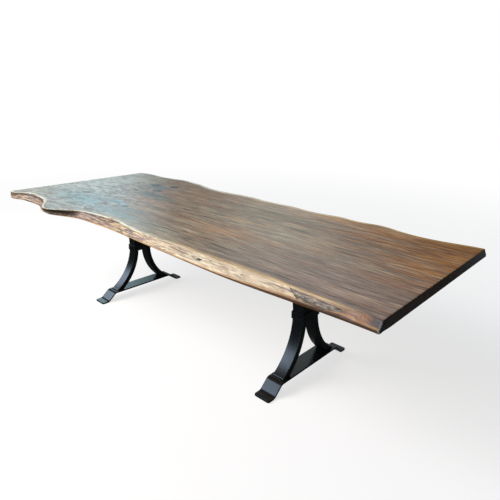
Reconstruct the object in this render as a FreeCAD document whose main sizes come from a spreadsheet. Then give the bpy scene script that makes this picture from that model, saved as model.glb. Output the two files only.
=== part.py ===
"""Live-edge slab dining table on two black steel trestles, each a pair of bowed legs banded at the waist.

The frame is +Z up with the floor at z = 0.  X runs along the slab, and the long live edges face -Y
(the near edge, with a burl lobe) and +Y.  The origin is under the middle of the slab's own box.
"""
import FreeCAD, Part
import math
import os
import re
import Sketcher

# Driving dimensions in millimetres: alias, value, meaning.
SIZES = [
    ("table_height", 762, "floor to the top face"),
    ("slab_length", 3050, "between the two sawn ends"),
    ("slab_width", 1330, "across the widest points of the live edges"),
    ("slab_thickness", 48, "planed thickness"),
    ("live_edge_bulge", 7, "how far the live edge swells past a straight slope"),
    ("underside_round", 9, "how far the live edge tucks in to the underside"),
    ("belly_height", 13, "height of the live edge's swelling above the underside"),
    ("arris", 3, "eased corner round the top face"),
    ("base_spacing", 1590, "between the middles of the two bases"),
    ("base_shift", 38, "the bases' middle, towards +Y from the middle of the slab's box"),
    ("foot_length", 714, "foot bar, toe to toe"),
    ("bar_width", 100, "flat bar of the foot and top bars"),
    ("bar_thickness", 10, "flat bar of the foot and top bars"),
    ("foot_arch", 51, "clear height under the raised middle of the foot bar"),
    ("pad_length", 47, "flat toe that stands on the floor"),
    ("ramp_run", 58, "level distance that the bend takes up"),
    ("bend_radius", 16, "inside radius of the bar's bends"),
    ("toe_radius", 5, "rounded corners of the bars' ends"),
    ("top_bar_length", 720, "bar under the slab"),
    ("leg_width", 75, "leg tube, along X"),
    ("leg_depth", 35, "leg tube, across its bow"),
    ("leg_wall", 4, "leg tube wall"),
    ("waist_height", 350, "where the legs come closest"),
    ("waist_depth", 140, "over both legs at the waist"),
    ("foot_spread", 462, "over both legs on the foot bar"),
    ("head_spread", 462, "over both legs under the top bar"),
    ("block_height", 92, "spacer between the legs"),
    ("collar_height", 40, "band round the waist"),
    ("collar_thickness", 5, "band round the waist"),
    ("fit_gap", 0.3, "between curved or sliding faces that meet"),
    ("weld_leg", 8, "size of the weld beads"),
    ("weld_inset", 3, "bead stops short of the tube's sides"),
    ("clamp_bolt_diameter", 10, "bolt through the collar"),
    ("clamp_bolt_grip", 3, "thread that stands out of the nut"),
    ("clamp_hole", 11, "clearance hole for that bolt"),
    ("clamp_head_diameter", 17.5, "low round head"),
    ("clamp_head_height", 5.5, "low round head"),
    ("clamp_head_slope", 2.5, "sloping rim of the head"),
    ("clamp_key", 6, "socket of the head, across its flats"),
    ("clamp_key_depth", 3, "socket of the head"),
    ("clamp_nut", 16, "nut, across its flats"),
    ("clamp_nut_height", 8.4, "nut"),
    ("slab_bolt_diameter", 8, "lag bolt that holds the slab"),
    ("slab_bolt_length", 40, "shank of that bolt"),
    ("slab_bolt_head", 13, "hexagon head, across its flats"),
    ("slab_bolt_head_height", 5.3, "hexagon head"),
    ("slab_bolt_reach", 310, "outer bolts from the middle bolt"),
    ("slot_width", 9, "slot that lets the slab move with the seasons, and the middle bolt's hole"),
    ("slot_length", 25, "slot that lets the slab move with the seasons"),
    ("slab_washer_diameter", 24, "wide washer over the slot"),
    ("slab_washer_thickness", 2, "wide washer over the slot"),
    ("pilot_depth", 30, "blind hole in the slab"),
]

# Formulas that follow from them: alias, formula.
DERIVED = [
    ("slab_underside", "table_height - slab_thickness"),
    ("foot_top", "foot_arch + bar_thickness"),
    ("head_height", "slab_underside - bar_thickness"),
    ("foot_drop", "waist_height - foot_top"),
    ("head_rise", "head_height - waist_height"),
    ("foot_flare", "(foot_spread - waist_depth) / 2"),
    ("head_flare", "(head_spread - waist_depth) / 2"),
    ("lower_radius", "(foot_flare ^ 2 + foot_drop ^ 2) / (2 * foot_flare)"),
    ("upper_radius", "(head_flare ^ 2 + head_rise ^ 2) / (2 * head_flare)"),
    ("collar_sagitta", "(collar_height / 2) ^ 2 / (2 * min(lower_radius; upper_radius))"),
    ("collar_inside_depth", "waist_depth / 2 + collar_sagitta + fit_gap"),
    ("collar_inside_width", "leg_width / 2 + fit_gap"),
    ("collar_face", "collar_inside_depth + collar_thickness"),
    ("block_bottom", "waist_height - collar_height / 2"),
]

# Live edges as the eye reads them from the left end to the right: share of the half length along X,
# then the share of the half width that the edge stands out, at the top face and at the underside.
NEAR_EDGE_SHARES = [
    (-1.000, 0.920, 0.906),
    (-0.964, 0.884, 0.946),
    (-0.918, 0.833, 0.914),
    (-0.833, 0.809, 0.884),
    (-0.754, 0.821, 0.877),
    (-0.689, 0.857, 0.902),
    (-0.630, 0.928, 0.941),
    (-0.584, 0.985, 0.955),
    (-0.551, 1.000, 0.958),
    (-0.511, 0.962, 0.928),
    (-0.459, 0.878, 0.879),
    (-0.400, 0.795, 0.835),
    (-0.315, 0.749, 0.818),
    (-0.177, 0.725, 0.804),
    (-0.039, 0.767, 0.812),
    (0.098, 0.777, 0.822),
    (0.262, 0.764, 0.832),
    (0.426, 0.761, 0.842),
    (0.525, 0.755, 0.843),
    (0.590, 0.750, 0.838),
    (0.754, 0.758, 0.817),
    (0.885, 0.763, 0.801),
    (1.000, 0.758, 0.799),
]
FAR_EDGE_SHARES = [
    (-1.000, 0.832, 0.888),
    (-0.928, 0.872, 0.920),
    (-0.777, 0.866, 0.911),
    (-0.700, 0.900, 0.966),
    (-0.628, 0.931, 1.012),
    (-0.560, 0.922, 0.986),
    (-0.483, 0.902, 0.947),
    (-0.352, 0.832, 0.887),
    (-0.252, 0.830, 0.878),
    (-0.056, 0.859, 0.905),
    (0.049, 0.838, 0.890),
    (0.162, 0.856, 0.905),
    (0.253, 0.836, 0.881),
    (0.334, 0.833, 0.884),
    (0.426, 0.866, 0.911),
    (0.525, 0.851, 0.907),
    (0.607, 0.881, 0.931),
    (0.700, 0.839, 0.898),
    (0.854, 0.827, 0.887),
    (0.920, 0.854, 0.914),
    (1.000, 0.872, 0.932),
]
BELLY_SHARE = 0.3       # the belly's outline lies this far from the underside's outline to the top's
EDGE_SAMPLES = 800      # points at which a live edge is measured

doc = FreeCAD.newDocument("slab_dining_table")
sheet = doc.addObject("Spreadsheet::Sheet", "Sizes")
for row, (alias, number, meaning) in enumerate(SIZES, start=1):
    sheet.set(f"A{row}", meaning)
    sheet.set(f"B{row}", str(number))
    sheet.setAlias(f"B{row}", alias)
for row, (alias, formula) in enumerate(DERIVED, start=len(SIZES) + 1):
    sheet.set(f"B{row}", "=" + formula)
    sheet.setAlias(f"B{row}", alias)
doc.recompute()


ALIASES = {alias for alias, *_ in SIZES + DERIVED}


def on_sheet(expression):
    """The same expression with each size written as the sheet's own."""
    return re.sub(r"[a-z_]+", lambda word: "Sizes." * (word.group() in ALIASES) + word.group(), expression)


def value(expression):
    """Number that an expression gives now."""
    return float(sheet.evalExpression(on_sheet(expression)))


def bind(item, setting, expression):
    """Ties one setting of an object to an expression."""
    item.setExpression(setting, on_sheet(expression))


def new_body(name):
    """Body that becomes one node; one sketch may give it several separate solids."""
    body = doc.addObject("PartDesign::Body", name)
    body.Label = name
    body.AllowCompound = True
    return body


def new_sketch(body, name, role, lift="0"):
    """Sketch on one of the body's own origin planes, lifted along its normal by an expression."""
    sketch = body.newObject("Sketcher::SketchObject", body.Name + "_" + name)
    plane = [feature for feature in body.Origin.OriginFeatures if feature.Role == role][0]
    sketch.AttachmentSupport = [(plane, "")]
    sketch.MapMode = "FlatFace"
    bind(sketch, "AttachmentOffset.Base.z", lift)
    return sketch


def bind_point(sketch, geometry, end, across, up):
    """Ties one end of a piece of sketch geometry to two expressions, from the sketch's origin."""
    for kind, expression in (("DistanceX", across), ("DistanceY", up)):
        index = sketch.addConstraint(Sketcher.Constraint(kind, -1, 1, geometry, end, value(expression)))
        bind(sketch, f"Constraints[{index}]", expression)


def draw_outline(sketch, corners, arcs=None):
    """Closed outline through corners given as pairs of expressions.

    arcs maps a corner's number to the radius of the arc that runs from it to the next corner, and
    whether that arc turns anticlockwise about its centre.
    """
    arcs = arcs or {}
    points = [FreeCAD.Vector(value(across), value(up), 0) for across, up in corners]
    edges = []
    for number, start in enumerate(points):
        end = points[(number + 1) % len(points)]
        if number in arcs:
            radius, anticlockwise = arcs[number]
            chord = end - start
            half = chord.Length / 2
            side = FreeCAD.Vector(-chord.y, chord.x, 0) / chord.Length
            reach = math.sqrt(max(value(radius) ** 2 - half ** 2, 0))
            centre = start + chord / 2 + side * (reach if anticlockwise else -reach)
            circle = Part.Circle(centre, FreeCAD.Vector(0, 0, 1), value(radius))
            first, last = (start, end) if anticlockwise else (end, start)
            angles = [math.atan2(point.y - centre.y, point.x - centre.x) for point in (first, last)]
            if angles[1] < angles[0]:
                angles[1] += 2 * math.pi
            index = sketch.addGeometry(Part.ArcOfCircle(circle, angles[0], angles[1]))
            edges.append((index, 1, 2) if anticlockwise else (index, 2, 1))
            bound = sketch.addConstraint(Sketcher.Constraint("Radius", index, value(radius)))
            bind(sketch, f"Constraints[{bound}]", radius)
        else:
            index = sketch.addGeometry(Part.LineSegment(start, end))
            edges.append((index, 1, 2))
    for number, (index, start_end, far_end) in enumerate(edges):
        following = edges[(number + 1) % len(edges)]
        sketch.addConstraint(Sketcher.Constraint("Coincident", index, far_end, following[0], following[1]))
        bind_point(sketch, index, start_end, *corners[number])


def draw_circles(sketch, centres, radius):
    """One circle for each pair of expressions."""
    for across, up in centres:
        place = FreeCAD.Vector(value(across), value(up), 0)
        index = sketch.addGeometry(Part.Circle(place, FreeCAD.Vector(0, 0, 1), value(radius)))
        bind_point(sketch, index, 3, across, up)
        bound = sketch.addConstraint(Sketcher.Constraint("Radius", index, value(radius)))
        bind(sketch, f"Constraints[{bound}]", radius)


def draw_hexagons(sketch, centres, flats):
    """One hexagon for each pair of expressions, from its size across the flats."""
    for across, up in centres:
        corners = []
        reach = f"{flats} / sqrt(3)"
        for step in range(6):
            turn = f"({step} * 60 deg)"
            corners.append((f"{across} + {reach} * cos{turn}", f"{up} + {reach} * sin{turn}"))
        draw_outline(sketch, corners)


def draw_slot(sketch, low, high, radius):
    """Slot along the sketch's upright axis, between two end centres given as expressions."""
    arcs = []
    for up, turn in ((high, 0), (low, math.pi)):
        circle = Part.Circle(FreeCAD.Vector(0, value(up), 0), FreeCAD.Vector(0, 0, 1), value(radius))
        arcs.append(sketch.addGeometry(Part.ArcOfCircle(circle, turn, turn + math.pi)))
    side = FreeCAD.Vector(value(radius), 0, 0)
    top = FreeCAD.Vector(0, value(high), 0)
    bottom = FreeCAD.Vector(0, value(low), 0)
    left = sketch.addGeometry(Part.LineSegment(top - side, bottom - side))
    right = sketch.addGeometry(Part.LineSegment(bottom + side, top + side))
    joints = [(arcs[0], 2, left, 1), (left, 2, arcs[1], 1), (arcs[1], 2, right, 1), (right, 2, arcs[0], 1)]
    for joint in joints:
        sketch.addConstraint(Sketcher.Constraint("Tangent", *joint))
    sketch.addConstraint(Sketcher.Constraint("Equal", *arcs))
    bound = sketch.addConstraint(Sketcher.Constraint("Radius", arcs[0], value(radius)))
    bind(sketch, f"Constraints[{bound}]", radius)
    for arc, up in zip(arcs, (high, low)):
        sketch.addConstraint(Sketcher.Constraint("PointOnObject", arc, 3, -2))
        index = sketch.addConstraint(Sketcher.Constraint("DistanceY", -1, 1, arc, 3, value(up)))
        bind(sketch, f"Constraints[{index}]", up)


def rectangle(half_across, half_up):
    """Corners of a rectangle about the sketch's origin."""
    return [
        (f"-({half_across})", f"-({half_up})"),
        (half_across, f"-({half_up})"),
        (half_across, half_up),
        (f"-({half_across})", half_up),
    ]


def pad(body, name, sketch, length, both_ways=False, back=False):
    """Adds material over the sketch."""
    feature = body.newObject("PartDesign::Pad", body.Name + "_" + name)
    feature.Profile = sketch
    bind(feature, "Length", length)
    feature.Midplane = both_ways
    feature.Reversed = back
    body.Tip = feature
    doc.recompute()
    return feature


def pocket(body, name, sketch, length, both_ways=False, back=False):
    """Takes material away over the sketch, and checks that it did."""
    before = body.Shape.Volume
    feature = body.newObject("PartDesign::Pocket", body.Name + "_" + name)
    feature.Profile = sketch
    bind(feature, "Length", length)
    feature.Midplane = both_ways
    feature.Reversed = back
    body.Tip = feature
    doc.recompute()
    if body.Shape.Volume >= before:
        raise RuntimeError(f"{feature.Name} cut nothing")
    return feature


def dress_edges(body, name, kind, setting, size, chosen):
    """Cuts or rounds the edges of the body's last feature that a test on middle and direction picks."""
    base = body.Tip
    names = []
    for number, edge in enumerate(base.Shape.Edges, start=1):
        middle = edge.valueAt((edge.FirstParameter + edge.LastParameter) / 2)
        direction = edge.tangentAt((edge.FirstParameter + edge.LastParameter) / 2)
        if chosen(middle, direction):
            names.append(f"Edge{number}")
    feature = body.newObject(kind, body.Name + "_" + name)
    feature.Base = (base, names)
    bind(feature, setting, size)
    body.Tip = feature
    doc.recompute()
    return feature


def fillet(body, name, radius, chosen):
    """Rounds the chosen edges."""
    return dress_edges(body, name, "PartDesign::Fillet", "Radius", radius, chosen)


def chamfer(body, name, size, chosen):
    """Cuts the chosen edges off at 45 degrees."""
    return dress_edges(body, name, "PartDesign::Chamfer", "Size", size, chosen)


def place(body, x="0", y="0", z="0", half_turn=False):
    """Stands the body where three expressions say, turned about +Z by half a turn if asked."""
    if half_turn:
        body.Placement = FreeCAD.Placement(FreeCAD.Vector(), FreeCAD.Rotation(FreeCAD.Vector(0, 0, 1), 180))
    for axis, expression in (("x", x), ("y", y), ("z", z)):
        bind(body, f"Placement.Base.{axis}", expression)


# Live-edge slab: four outlines, lofted from the underside through the belly and the shoulder to the top face.
LEVELS = [
    ("underside", "slab_underside", 0, "-underside_round", "0"),
    ("belly", "slab_underside + belly_height", BELLY_SHARE, "live_edge_bulge", "0"),
    ("shoulder", "table_height - arris", 1, "0", "0"),
    ("top_face", "table_height", 1, "-arris", "arris"),
]


def live_edge(shares, side, slope, swell, end_tuck, fit=1.0):
    """Spline along one live edge at one level, from its share table; fit stretches it across the slab."""
    half_length = value("slab_length / 2")
    half_width = value("slab_width / 2")
    points = []
    for along, top, bottom in shares:
        reach = half_width * (bottom + (top - bottom) * slope) + value(swell)
        points.append(FreeCAD.Vector(along * half_length, side * reach * fit, 0))
    points[0].x += value(end_tuck)
    points[-1].x -= value(end_tuck)
    curve = Part.BSplineCurve()
    curve.interpolate(points)
    return curve


def widest_fit(shares, side):
    """Factor that brings the widest point of a live edge, over all levels, to half the slab's width."""
    widest = 0
    for *_, slope, swell, end_tuck in LEVELS:
        curve = live_edge(shares, side, slope, swell, end_tuck)
        widest = max(widest, max(abs(point.y) for point in curve.discretize(EDGE_SAMPLES)))
    return value("slab_width / 2") / widest


def draw_slab_outline(sketch, slope, swell, end_tuck):
    """Two splines along the live edges and two straight lines along the sawn ends."""
    near = live_edge(NEAR_EDGE_SHARES, -1, slope, swell, end_tuck, near_fit)
    far = live_edge(FAR_EDGE_SHARES[::-1], 1, slope, swell, f"-({end_tuck})", far_fit)
    sketch.addGeometry(near)
    sketch.addGeometry(Part.LineSegment(near.EndPoint, far.StartPoint))
    sketch.addGeometry(far)
    sketch.addGeometry(Part.LineSegment(far.EndPoint, near.StartPoint))
    for number in range(4):
        sketch.addConstraint(Sketcher.Constraint("Coincident", number, 2, (number + 1) % 4, 1))


near_fit = widest_fit(NEAR_EDGE_SHARES, -1)
far_fit = widest_fit(FAR_EDGE_SHARES, 1)
slab = new_body("slab_top")
outlines = []
for level, lift, slope, swell, end_tuck in LEVELS:
    outline = new_sketch(slab, level, "XY_Plane", lift)
    draw_slab_outline(outline, slope, swell, end_tuck)
    outlines.append(outline)
loft = slab.newObject("PartDesign::AdditiveLoft", "slab_top_loft")
loft.Profile = outlines[0]
loft.Sections = outlines[1:]
loft.Ruled = True
slab.Tip = loft
doc.recompute()

# Places of the lag bolts that hold the slab, three on each base, and their blind holes in the slab.
BOLT_REACHES = ("-slab_bolt_reach", "0", "slab_bolt_reach")
bolt_places = []
for side in ("-", ""):
    for reach in BOLT_REACHES:
        bolt_places.append((f"{side}base_spacing / 2", f"base_shift + {reach}"))

pilot_holes = new_sketch(slab, "pilot_holes", "XY_Plane", "slab_underside")
draw_circles(pilot_holes, bolt_places, "slab_bolt_diameter / 2 + fit_gap")
pocket(slab, "pilot_pocket", pilot_holes, "pilot_depth", back=True)

# Wide washers under the top bars, and hexagon-headed lag bolts up through washer and bar into the slab.
washers = new_body("slab_washers")
discs = new_sketch(washers, "discs", "XY_Plane", "head_height - slab_washer_thickness")
draw_circles(discs, bolt_places, "slab_washer_diameter / 2")
draw_circles(discs, bolt_places, "slab_bolt_diameter / 2 + fit_gap")
pad(washers, "disc_pad", discs, "slab_washer_thickness")

slab_bolts = new_body("slab_bolts")
heads = new_sketch(slab_bolts, "heads", "XY_Plane", "head_height - slab_washer_thickness")
draw_hexagons(heads, bolt_places, "slab_bolt_head")
pad(slab_bolts, "head_pad", heads, "slab_bolt_head_height", back=True)
shanks = new_sketch(slab_bolts, "shanks", "XY_Plane", "head_height - slab_washer_thickness")
draw_circles(shanks, bolt_places, "slab_bolt_diameter / 2")
pad(slab_bolts, "shank_pad", shanks, "slab_bolt_length")


# Foot bar: flat bar cranked up between two toes, drawn from the side and run across its width.
def make_foot_bar(name, x):
    """Foot bar with its bends and rounded toes."""
    body = new_body(name)
    crank = "(bar_thickness * (sqrt(ramp_run ^ 2 + foot_arch ^ 2) - ramp_run) / foot_arch)"
    toe = "foot_length / 2"
    pad_end = f"({toe} - pad_length)"
    rise_end = f"({pad_end} - ramp_run)"
    corners = [
        (f"-{toe}", "0"),
        (f"-{pad_end} + {crank}", "0"),
        (f"-{rise_end} + {crank}", "foot_arch"),
        (f"{rise_end} - {crank}", "foot_arch"),
        (f"{pad_end} - {crank}", "0"),
        (toe, "0"),
        (toe, "bar_thickness"),
        (pad_end, "bar_thickness"),
        (rise_end, "foot_top"),
        (f"-{rise_end}", "foot_top"),
        (f"-{pad_end}", "bar_thickness"),
        (f"-{toe}", "bar_thickness"),
    ]
    side_view = new_sketch(body, "side_view", "YZ_Plane")
    draw_outline(side_view, corners)
    pad(body, "bar", side_view, "bar_width", both_ways=True)
    middle_height = value("foot_top") / 2
    thickness = value("bar_thickness")
    toe_edge = value(toe)
    inner = [corners[7], corners[10], corners[2], corners[3]]
    outer = [corners[1], corners[4], corners[8], corners[9]]

    def at_corner(group):
        """Test for the bends' edges, which run along X through the given corners."""
        spots = [(value(across), value(up)) for across, up in group]

        def test(middle, direction):
            near = any(math.hypot(middle.y - across, middle.z - up) < thickness / 4 for across, up in spots)
            return abs(direction.x) > 0.99 and near
        return test

    fillet(body, "inner_bends", "bend_radius", at_corner(inner))
    fillet(body, "outer_bends", "bend_radius + bar_thickness", at_corner(outer))
    fillet(body, "toe_corners", "toe_radius",
           lambda middle, direction: abs(direction.z) > 0.99 and abs(abs(middle.y) - toe_edge) < thickness / 4
           and middle.z < middle_height)
    place(body, x, "base_shift")


# Top bar: straight flat bar under the slab, with a hole for the middle bolt and a slot at each end.
def make_top_bar(name, x):
    """Top bar with slots that lie across the grain, so that the slab can swell and shrink."""
    body = new_body(name)
    plan = new_sketch(body, "plan", "XY_Plane", "head_height")
    draw_outline(plan, rectangle("bar_width / 2", "top_bar_length / 2"))
    pad(body, "bar", plan, "bar_thickness")
    slots = new_sketch(body, "slots", "XY_Plane", "head_height")
    straight = "(slot_length - slot_width) / 2"
    for reach in (BOLT_REACHES[0], BOLT_REACHES[-1]):
        draw_slot(slots, f"{reach} - {straight}", f"{reach} + {straight}", "slot_width / 2")
    draw_circles(slots, [("0", BOLT_REACHES[1])], "slot_width / 2")
    pocket(body, "slot_pocket", slots, "bar_thickness", back=True)
    place(body, x, "base_shift")


def bow(inset_outside, inset_inside):
    """Corners and arcs of a bowed leg seen from the side, shrunk by an inset on each face.

    The leg leaves the foot bar, comes upright at the waist and leans out again to the top bar.  Its
    outer face is two arcs that meet upright at the waist, and its inner face shares their centres.
    """
    lower_outer = f"(lower_radius + {inset_outside})"
    lower_inner = f"(lower_radius + leg_depth - {inset_inside})"
    upper_outer = f"(upper_radius + {inset_outside})"
    upper_inner = f"(upper_radius + leg_depth - {inset_inside})"
    lower_centre = "(-waist_depth / 2 - lower_radius)"
    upper_centre = "(-waist_depth / 2 - upper_radius)"
    corners = [
        (f"{lower_centre} + sqrt({lower_outer} ^ 2 - foot_drop ^ 2)", "foot_top"),
        (f"{lower_centre} + sqrt({lower_inner} ^ 2 - foot_drop ^ 2)", "foot_top"),
        (f"{lower_centre} + {lower_inner}", "waist_height"),
        (f"{upper_centre} + sqrt({upper_inner} ^ 2 - head_rise ^ 2)", "head_height"),
        (f"{upper_centre} + sqrt({upper_outer} ^ 2 - head_rise ^ 2)", "head_height"),
        (f"{upper_centre} + {upper_outer}", "waist_height"),
    ]
    arcs = {1: (lower_inner, True), 2: (upper_inner, True), 4: (upper_outer, False), 5: (lower_outer, False)}
    return corners, arcs


# Legs: rolled rectangular tube, open inside from the foot bar to the top bar, drilled at the waist.
def make_leg(name, x, half_turn):
    """One bowed leg; the rear one is the front one turned half round."""
    body = new_body(name)
    side_view = new_sketch(body, "side_view", "YZ_Plane")
    draw_outline(side_view, *bow("0", "0"))
    pad(body, "tube", side_view, "leg_width", both_ways=True)
    bore_view = new_sketch(body, "bore_view", "YZ_Plane")
    draw_outline(bore_view, *bow("leg_wall", "leg_wall"))
    pocket(body, "bore", bore_view, "leg_width - 2 * leg_wall", both_ways=True)
    hole = new_sketch(body, "hole", "XZ_Plane")
    draw_circles(hole, [("0", "waist_height")], "clamp_hole / 2")
    pocket(body, "hole_pocket", hole, "2 * collar_face", both_ways=True)
    place(body, x, "base_shift", half_turn=half_turn)


# Waist block: solid spacer sawn to the legs' inner curves, bored for the clamp bolt.
def make_waist_block(name, x):
    """Spacer between the two legs, from the collar's lower edge upwards."""
    body = new_body(name)
    low = "(collar_height / 2)"
    high = "(block_height - collar_height / 2)"
    lower_radius = "(lower_radius + leg_depth + fit_gap)"
    upper_radius = "(upper_radius + leg_depth + fit_gap)"
    waist = "(waist_depth / 2 - leg_depth - fit_gap)"
    foot = f"({waist} + {lower_radius} - sqrt({lower_radius} ^ 2 - {low} ^ 2))"
    head = f"({waist} + {upper_radius} - sqrt({upper_radius} ^ 2 - {high} ^ 2))"
    corners = [
        (f"-{foot}", "block_bottom"),
        (foot, "block_bottom"),
        (waist, "waist_height"),
        (head, f"waist_height + {high}"),
        (f"-{head}", f"waist_height + {high}"),
        (f"-{waist}", "waist_height"),
    ]
    side_view = new_sketch(body, "side_view", "YZ_Plane")
    arcs = {number: (upper_radius, False) for number in (2, 4)}
    arcs.update({number: (lower_radius, False) for number in (1, 5)})
    draw_outline(side_view, corners, arcs)
    pad(body, "block", side_view, "leg_width", both_ways=True)
    hole = new_sketch(body, "hole", "XZ_Plane")
    draw_circles(hole, [("0", "waist_height")], "clamp_hole / 2")
    pocket(body, "hole_pocket", hole, "2 * collar_face", both_ways=True)
    place(body, x, "base_shift")


# Collar: flat band welded square round both legs, drilled front and back for the clamp bolt.
def make_collar(name, x):
    """Band round the waist."""
    body = new_body(name)
    plan = new_sketch(body, "plan", "XY_Plane", "block_bottom")
    draw_outline(plan, rectangle("collar_inside_width + collar_thickness", "collar_face"))
    draw_outline(plan, rectangle("collar_inside_width", "collar_inside_depth"))
    pad(body, "band", plan, "collar_height")
    hole = new_sketch(body, "hole", "XZ_Plane")
    draw_circles(hole, [("0", "waist_height")], "clamp_hole / 2")
    pocket(body, "hole_pocket", hole, "2 * collar_face", both_ways=True)
    place(body, x, "base_shift")


for side_name, x in (("left", "-base_spacing / 2"), ("right", "base_spacing / 2")):
    make_foot_bar(side_name + "_foot_bar", x)
    make_top_bar(side_name + "_top_bar", x)
    make_leg(side_name + "_front_leg", x, False)
    make_leg(side_name + "_rear_leg", x, True)
    make_waist_block(side_name + "_waist_block", x)
    make_collar(side_name + "_collar", x)


# Clamp bolts and nuts: one pair through each collar along Y, head in front and nut behind.
clamp_places = [("-base_spacing / 2", "waist_height"), ("base_spacing / 2", "waist_height")]
clamp_bolts = new_body("clamp_bolts")
shank = new_sketch(clamp_bolts, "shanks", "XZ_Plane", "collar_face")
draw_circles(shank, clamp_places, "clamp_bolt_diameter / 2")
pad(clamp_bolts, "shank_pad", shank, "2 * collar_face + clamp_nut_height + clamp_bolt_grip", back=True)
cap = new_sketch(clamp_bolts, "heads", "XZ_Plane", "collar_face")
draw_circles(cap, clamp_places, "clamp_head_diameter / 2")
pad(clamp_bolts, "head_pad", cap, "clamp_head_height")
head_face = -value("collar_face + clamp_head_height")
chamfer(clamp_bolts, "head_rim", "clamp_head_slope",
        lambda middle, direction: abs(middle.y - head_face) < value("clamp_head_height") / 4)
socket = new_sketch(clamp_bolts, "sockets", "XZ_Plane", "collar_face + clamp_head_height")
draw_hexagons(socket, clamp_places, "clamp_key")
pocket(clamp_bolts, "socket_pocket", socket, "clamp_key_depth")
place(clamp_bolts, y="base_shift")

clamp_nuts = new_body("clamp_nuts")
nut = new_sketch(clamp_nuts, "nuts", "XZ_Plane", "-collar_face")
draw_hexagons(nut, clamp_places, "clamp_nut")
draw_circles(nut, clamp_places, "clamp_bolt_diameter / 2 + fit_gap")
pad(clamp_nuts, "nut_pad", nut, "clamp_nut_height", back=True)
place(clamp_nuts, y="base_shift")


# Weld beads: one across each leg where its outer face meets a bar, as a slim wedge with a round front.
def make_welds(name, bar_face, radius, drop, outward):
    """Beads on both legs of both bases; outward is -1 below the legs and 1 above them."""
    body = new_body(name)
    centre = f"(-waist_depth / 2 - {radius})"
    face = f"({radius} - fit_gap)"
    toe = f"({centre} + sqrt({face} ^ 2 - {drop} ^ 2))"
    raised = f"({drop} - weld_leg / 2)"
    on_leg = f"({centre} + sqrt({face} ^ 2 - {raised} ^ 2))"
    for base, x in (("left", "-base_spacing / 2"), ("right", "base_spacing / 2")):
        for leg, hand in (("front", ""), ("rear", "-")):
            wedge = new_sketch(body, f"{base}_{leg}", "YZ_Plane", f"{x} - leg_width / 2 + weld_inset")
            corners = [
                (f"{hand}({toe})", bar_face),
                (f"{hand}({toe} - weld_leg)", bar_face),
                (f"{hand}{on_leg}", f"{bar_face} + ({outward}) * weld_leg / 2"),
            ]
            draw_outline(wedge, corners)
            pad(body, f"{base}_{leg}_pad", wedge, "leg_width - 2 * weld_inset")
    place(body, y="base_shift")


make_welds("foot_welds", "foot_top", "lower_radius", "foot_drop", "1")
make_welds("head_welds", "head_height", "upper_radius", "head_rise", "-1")

# Check every object, then write each node's solids.
doc.recompute()
for item in doc.Objects:
    if "Invalid" in item.State or "Error" in item.State:
        raise RuntimeError(f"{item.Name} failed: {item.State}")
os.makedirs("parts", exist_ok=True)
for item in doc.Objects:
    if item.TypeId != "PartDesign::Body":
        continue
    if item.Shape.isNull() or not item.Shape.isValid():
        raise RuntimeError(f"{item.Label} has no valid shape")
    item.Shape.exportStep(f"parts/{item.Label}.step")
    box = item.Shape.BoundBox
    spans = ((box.XMin, box.XMax), (box.YMin, box.YMax), (box.ZMin, box.ZMax))
    print(f"{item.Label}: {len(item.Shape.Solids)} solids, {item.Shape.Volume / 1e3:.1f} cm3,",
          ", ".join(f"{low:.1f} to {high:.1f}" for low, high in spans))
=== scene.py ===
"""Live-edge walnut slab dining table on two black steel trestles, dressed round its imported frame.

Metres throughout, with +Z up and the floor at z = 0.  X runs along the slab, and -Y is its near live edge.
"""
import math

import bpy
import numpy as np
from mathutils import Matrix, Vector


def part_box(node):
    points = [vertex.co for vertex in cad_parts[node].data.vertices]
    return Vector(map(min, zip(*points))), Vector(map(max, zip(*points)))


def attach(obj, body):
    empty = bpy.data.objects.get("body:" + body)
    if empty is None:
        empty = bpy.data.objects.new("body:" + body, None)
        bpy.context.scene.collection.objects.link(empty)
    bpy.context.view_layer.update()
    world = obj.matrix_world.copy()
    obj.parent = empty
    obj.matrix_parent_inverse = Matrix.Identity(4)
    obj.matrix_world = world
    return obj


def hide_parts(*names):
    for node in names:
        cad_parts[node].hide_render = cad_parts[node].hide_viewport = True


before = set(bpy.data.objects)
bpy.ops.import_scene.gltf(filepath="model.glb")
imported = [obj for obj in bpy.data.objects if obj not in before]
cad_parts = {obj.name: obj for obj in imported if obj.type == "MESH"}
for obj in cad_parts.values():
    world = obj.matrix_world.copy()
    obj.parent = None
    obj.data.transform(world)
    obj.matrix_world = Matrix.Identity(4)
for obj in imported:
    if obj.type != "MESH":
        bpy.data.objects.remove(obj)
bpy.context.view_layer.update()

# Foot bars: flat bar of 100 by 10 mm, cranked in a press so that its middle is raised and its two short
# toes stand on the floor.  The toes' corners are ground round and the sawn edges eased before welding,
# and the finished base is grit blasted and powder coated black.
BAR_THICKNESS = 0.010
PAD_LENGTH = 0.047
RAMP_RUN = 0.058
BEND_RADIUS = 0.032            # to the middle of the bar's thickness
TOE_RADIUS = 0.011
BAR_EASE = 0.0012


def linear(code):
    """Linear colour of an sRGB hex code: each channel c is c / 12.92 up to 0.04045, and above that
    ((c + 0.055) / 1.055)^2.4."""
    channels = [int(code[place:place + 2], 16) / 255 for place in (1, 3, 5)]
    return tuple(c / 12.92 if c <= 0.04045 else ((c + 0.055) / 1.055) ** 2.4 for c in channels) + (1.0,)


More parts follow.
